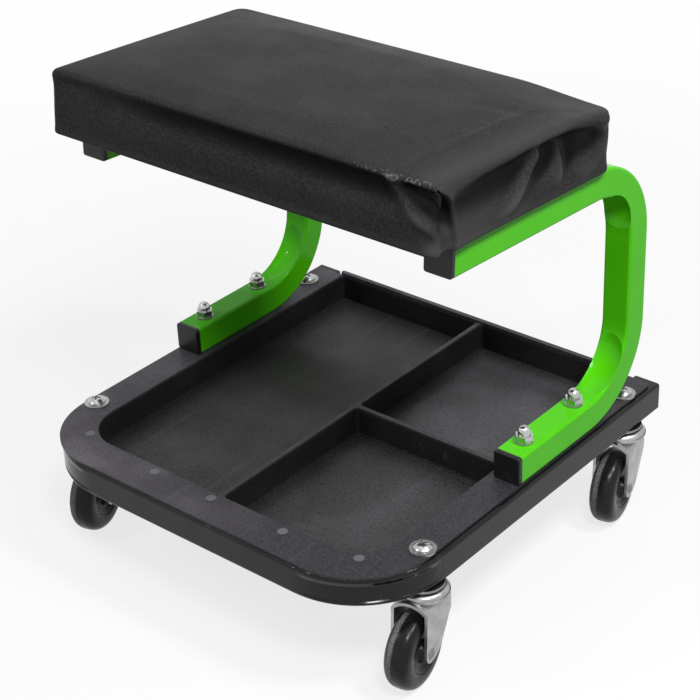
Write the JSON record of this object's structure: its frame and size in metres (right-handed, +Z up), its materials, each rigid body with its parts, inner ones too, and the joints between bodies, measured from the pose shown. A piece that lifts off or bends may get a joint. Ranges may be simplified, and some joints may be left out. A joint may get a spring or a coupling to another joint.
{
  "type": "creeper seat",
  "caption": "Low rolling workshop seat: padded top on bent square-tube legs over a tube base with a divided tool tray and swivel casters.",
  "frame": {"origin": "on the floor, under the middle of the tube base", "axes": "+Z up; +Y towards the rear, where the legs' posts stand; -Y towards the open front; +X to the right as seen from the front"},
  "size_m": [0.3917, 0.382, 0.4094],
  "materials": {
    "black_paint": "gloss black paint on square steel tube",
    "green_paint": "gloss bright green paint on square steel tube",
    "black_moulding": "fine-grained black moulded plastic",
    "black_plug": "smooth black moulded plug",
    "vinyl": "soft black vinyl with a faint grain",
    "foam": "open-cell upholstery foam",
    "plywood": "bare plywood",
    "zinc_steel": "bright zinc-plated steel",
    "chrome_steel": "polished plated steel",
    "wheel_black": "smooth black tread",
    "hub_black": "black moulded hub"
  },
  "bodies": {
    "base": {"base_frame": "black_paint", "tray": "black_moulding", "left_leg": "green_paint", "right_leg": "green_paint", "left_lower_arm_plug": "black_plug", "left_upper_arm_plug": "black_plug", "left_rail_plug": "black_plug", "right_lower_arm_plug": "black_plug", "right_upper_arm_plug": "black_plug", "right_rail_plug": "black_plug", "leg_bolts": "zinc_steel", "leg_washers": "zinc_steel", "domed_nuts": "chrome_steel", "corner_washers": "zinc_steel", "corner_screws": "zinc_steel", "seat_board": "plywood", "seat_foam": "foam", "seat_cover": "vinyl", "seat_staples": "zinc_steel", "seat_screws": "zinc_steel", "tee_nuts": "zinc_steel", "front_left_caster_top_race": "zinc_steel", "front_left_caster_kingpin": "zinc_steel", "front_left_caster_bearing_balls": "zinc_steel", "front_right_caster_top_race": "zinc_steel", "front_right_caster_kingpin": "zinc_steel", "front_right_caster_bearing_balls": "zinc_steel", "rear_left_caster_top_race": "zinc_steel", "rear_left_caster_kingpin": "zinc_steel", "rear_left_caster_bearing_balls": "zinc_steel", "rear_right_caster_top_race": "zinc_steel", "rear_right_caster_kingpin": "zinc_steel", "rear_right_caster_bearing_balls": "zinc_steel"},
    "front_left_caster_swivel": {"front_left_caster_fork": "zinc_steel", "front_left_caster_axle_sleeve": "zinc_steel", "front_left_caster_axle": "zinc_steel"},
    "front_left_caster_wheel": {"front_left_caster_tyre": "wheel_black", "front_left_caster_wheel_hub": "hub_black"},
    "front_right_caster_swivel": {"front_right_caster_fork": "zinc_steel", "front_right_caster_axle_sleeve": "zinc_steel", "front_right_caster_axle": "zinc_steel"},
    "front_right_caster_wheel": {"front_right_caster_tyre": "wheel_black", "front_right_caster_wheel_hub": "hub_black"},
    "rear_left_caster_swivel": {"rear_left_caster_fork": "zinc_steel", "rear_left_caster_axle_sleeve": "zinc_steel", "rear_left_caster_axle": "zinc_steel"},
    "rear_left_caster_wheel": {"rear_left_caster_tyre": "wheel_black", "rear_left_caster_wheel_hub": "hub_black"},
    "rear_right_caster_swivel": {"rear_right_caster_fork": "zinc_steel", "rear_right_caster_axle_sleeve": "zinc_steel", "rear_right_caster_axle": "zinc_steel"},
    "rear_right_caster_wheel": {"rear_right_caster_tyre": "wheel_black", "rear_right_caster_wheel_hub": "hub_black"}
  },
  "joints": [
    {"name": "front_left_swivel", "type": "hinge", "parent": "base", "child": "front_left_caster_swivel", "pos_m": [-0.175, -0.116, 0.08], "axis": [0, 0, 1], "continuous": true},
    {"name": "front_left_roll", "type": "hinge", "parent": "front_left_caster_swivel", "child": "front_left_caster_wheel", "pos_m": [-0.16974, -0.13321, 0.0325], "axis": [0.9563, 0.2924, 0], "continuous": true},
    {"name": "front_right_swivel", "type": "hinge", "parent": "base", "child": "front_right_caster_swivel", "pos_m": [0.175, -0.116, 0.08], "axis": [0, 0, 1], "continuous": true},
    {"name": "front_right_roll", "type": "hinge", "parent": "front_right_caster_swivel", "child": "front_right_caster_wheel", "pos_m": [0.17782, -0.13378, 0.0325], "axis": [0.9877, 0.1564, 0], "continuous": true},
    {"name": "rear_left_swivel", "type": "hinge", "parent": "base", "child": "rear_left_caster_swivel", "pos_m": [-0.175, 0.157, 0.08], "axis": [0, 0, 1], "continuous": true},
    {"name": "rear_left_roll", "type": "hinge", "parent": "rear_left_caster_swivel", "child": "rear_left_caster_wheel", "pos_m": [-0.17126, 0.13939, 0.0325], "axis": [0.9781, 0.2079, 0], "continuous": true},
    {"name": "rear_right_swivel", "type": "hinge", "parent": "base", "child": "rear_right_caster_swivel", "pos_m": [0.175, 0.157, 0.08], "axis": [0, 0, 1], "continuous": true},
    {"name": "rear_right_roll", "type": "hinge", "parent": "rear_right_caster_swivel", "child": "rear_right_caster_wheel", "pos_m": [0.17874, 0.13939, 0.0325], "axis": [0.9781, 0.2079, 0], "continuous": true}
  ]
}
